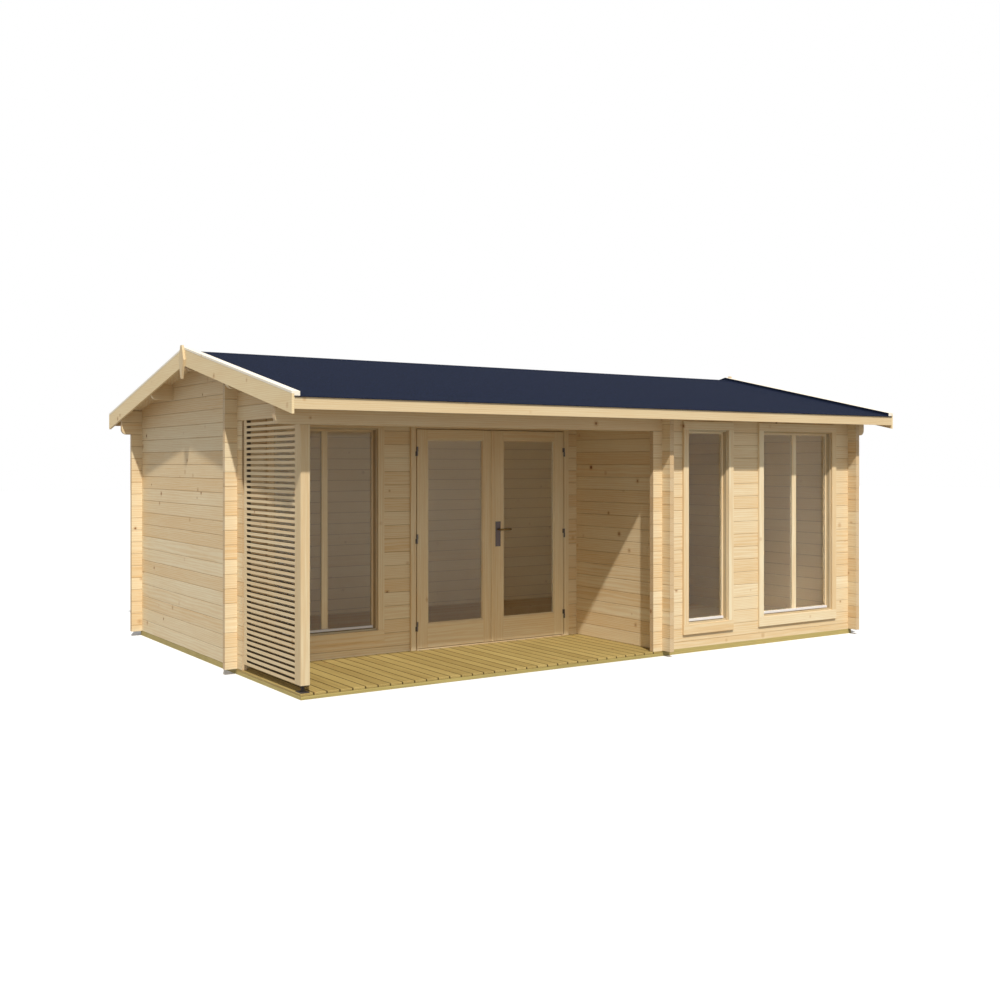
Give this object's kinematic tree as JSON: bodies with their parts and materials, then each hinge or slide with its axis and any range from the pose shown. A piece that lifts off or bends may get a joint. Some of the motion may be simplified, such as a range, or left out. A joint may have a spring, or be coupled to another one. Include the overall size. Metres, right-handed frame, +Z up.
{
  "type": "log cabin",
  "caption": "Gabled log cabin with a corner veranda, a slatted side screen, a glazed double door, tall windows and a felted roof.",
  "frame": {"origin": "centre of the whole cabin's footprint, on the ground under its beams", "axes": "+X along the front from left to right, seen from the front; +Y from front to rear; +Z up"},
  "size_m": [6.2432, 4.385, 2.6201],
  "materials": {
    "wall_logs": "planed pine logs, bare",
    "purlin_timber": "planed pine, bare",
    "roof_boards": "planed pine tongue and groove boards, bare",
    "trim_boards": "planed pine boards, bare",
    "window_joinery": "planed laminated pine",
    "door_joinery": "planed laminated pine",
    "post_timber": "planed laminated pine",
    "louvre_timber": "planed pine slats",
    "floor_boards": "planed pine tongue and groove boards",
    "impregnated_pine": "pressure impregnated pine, greenish",
    "roofing_felt": "mineral-surfaced bitumen felt",
    "clear_glass": "clear double glazing",
    "galvanised_steel": "dark painted steel",
    "dark_hinge_steel": "dark zinc-plated steel",
    "lock_steel": "satin steel"
  },
  "bodies": {
    "cabin": {"foundation_beams": "impregnated_pine", "veranda_deck": "impregnated_pine", "room_floor": "floor_boards", "left_gable_wall": "wall_logs", "right_gable_wall": "wall_logs", "side_wall": "wall_logs", "front_wall_sill": "wall_logs", "front_wall_piers": "wall_logs", "front_top_logs": "wall_logs", "door_wall_sill": "wall_logs", "door_wall_piers": "wall_logs", "door_wall_head": "wall_logs", "rear_wall": "wall_logs", "front_purlin": "purlin_timber", "ridge_purlin": "purlin_timber", "rear_purlin": "purlin_timber", "roof_boards_front": "roof_boards", "roof_boards_rear": "roof_boards", "roof_felt_front": "roofing_felt", "roof_felt_rear": "roofing_felt", "fascia_front": "trim_boards", "fascia_rear": "trim_boards", "left_bargeboards": "trim_boards", "right_bargeboards": "trim_boards", "left_verge_caps": "trim_boards", "right_verge_caps": "trim_boards", "left_finial": "trim_boards", "right_finial": "trim_boards", "corner_post": "post_timber", "post_foot": "galvanised_steel", "louvre_screen": "louvre_timber", "window_1_frame": "window_joinery", "window_2_frame": "window_joinery", "window_3_frame": "window_joinery", "window_glass": "clear_glass", "door_frame": "door_joinery", "frame_hinges": "dark_hinge_steel"},
    "left_leaf": {"left_door_leaf": "door_joinery", "left_door_glass": "clear_glass", "left_leaf_hinges": "dark_hinge_steel"},
    "right_leaf": {"right_door_leaf": "door_joinery", "right_door_glass": "clear_glass", "right_leaf_hinges": "dark_hinge_steel", "lock_plates": "lock_steel"},
    "lever": {"door_lever": "lock_steel"}
  },
  "joints": [
    {"name": "left_door_hinge", "type": "hinge", "parent": "cabin", "child": "left_leaf", "pos_m": [-1.2882, -0.6835, 1], "axis": [0, 0, -1], "range_deg": [0, 110]},
    {"name": "right_door_hinge", "type": "hinge", "parent": "cabin", "child": "right_leaf", "pos_m": [0.2868, -0.6835, 1], "axis": [0, 0, 1], "range_deg": [0, 95]},
    {"name": "lever_turn", "type": "hinge", "parent": "right_leaf", "child": "lever", "pos_m": [-0.4517, -0.6555, 1.059], "axis": [0, 1, 0], "range_deg": [0, 45], "stiffness_Nm_per_rad": 1, "springref_deg": -17.19}
  ]
}
